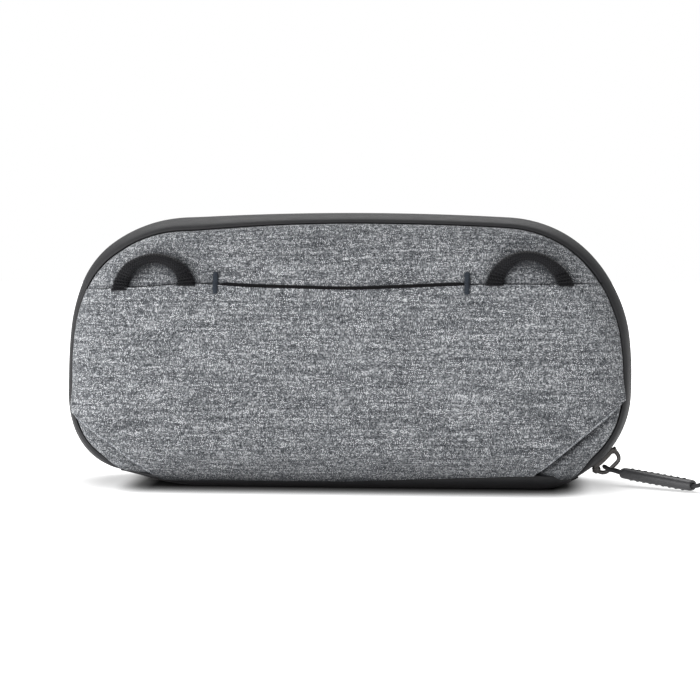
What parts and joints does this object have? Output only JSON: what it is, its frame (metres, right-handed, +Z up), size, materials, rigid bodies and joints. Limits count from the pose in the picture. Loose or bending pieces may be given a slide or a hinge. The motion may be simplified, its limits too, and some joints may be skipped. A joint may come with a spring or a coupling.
{
  "type": "cable organizer pouch",
  "caption": "Padded clamshell travel pouch with a zip round three sides, an outer slip pocket, two webbing loops and inner pockets for cables.",
  "frame": {"origin": "middle of the base, on the surface the pouch stands on, under the zip's centre line", "axes": "+Z up, +X along the width to the side of the zip slider, -Y out of the front face with the pocket and the loops"},
  "size_m": [0.2964, 0.0709, 0.115],
  "materials": {
    "heather_fabric": "woven heathered polyester, matte",
    "foam": "closed-cell foam, matte",
    "lining": "plain woven lining, matte",
    "coated_tape": "coated twill zip tape, satin",
    "zip_coil": "nylon coil, satin",
    "binding": "grosgrain binding, matte",
    "thread": "dense bar-tack thread",
    "stretch_fabric": "stretch knit, matte",
    "elastic": "ribbed elastic, matte",
    "webbing": "tubular braided webbing, matte",
    "mesh": "fine open mesh",
    "slider_metal": "dark coated zinc, satin",
    "cord": "braided cord, matte",
    "sleeve_rubber": "moulded soft grip, satin"
  },
  "bodies": {
    "front_half": {"front_shell": "heather_fabric", "front_foam": "foam", "front_lining": "lining", "front_zip_tape": "coated_tape", "front_zip_coil": "zip_coil", "front_base_strip": "coated_tape", "front_edge_binding": "binding", "front_pocket": "heather_fabric", "pocket_bar_tacks": "thread", "zip_end_tabs": "binding", "hinge_cord": "binding", "slip_pocket_rear": "stretch_fabric", "slip_pocket_front": "stretch_fabric", "slip_pocket_dividers": "stretch_fabric", "slip_pocket_elastics": "elastic"},
    "back_half": {"back_shell": "heather_fabric", "back_foam": "foam", "back_lining": "lining", "back_zip_tape": "coated_tape", "back_zip_coil": "zip_coil", "back_base_strip": "coated_tape", "back_edge_binding": "binding", "mesh_pocket": "mesh", "mesh_pocket_elastic": "elastic", "cable_loop_strip": "webbing", "cable_loops": "elastic"},
    "loop_left": {"loop_left": "webbing"},
    "loop_right": {"loop_right": "webbing"},
    "slider": {"zip_slider": "slider_metal", "slider_bridge": "slider_metal"},
    "pull": {"pull_cord": "cord", "pull_sleeve": "sleeve_rubber"}
  },
  "joints": [
    {"name": "clamshell_hinge", "type": "hinge", "parent": "front_half", "child": "back_half", "pos_m": [0, 0, 0], "axis": [-1, 0, 0], "range_deg": [0, 175]},
    {"name": "loop_left_swing", "type": "hinge", "parent": "front_half", "child": "loop_left", "pos_m": [-0.078, -0.03, 0.0838], "axis": [1, 0, 0], "range_deg": [0, 140]},
    {"name": "loop_right_swing", "type": "hinge", "parent": "front_half", "child": "loop_right", "pos_m": [0.078, -0.03, 0.0838], "axis": [1, 0, 0], "range_deg": [0, 140]},
    {"name": "zip_travel", "type": "hinge", "parent": "front_half", "child": "slider", "pos_m": [0.07986, 0, 0.04], "axis": [0, -1, 0], "range_deg": [0, 38]},
    {"name": "pull_swing", "type": "hinge", "parent": "slider", "child": "pull", "pos_m": [0.1089, 0, 0.0075], "axis": [0, -1, 0], "range_deg": [-35, 8]}
  ]
}
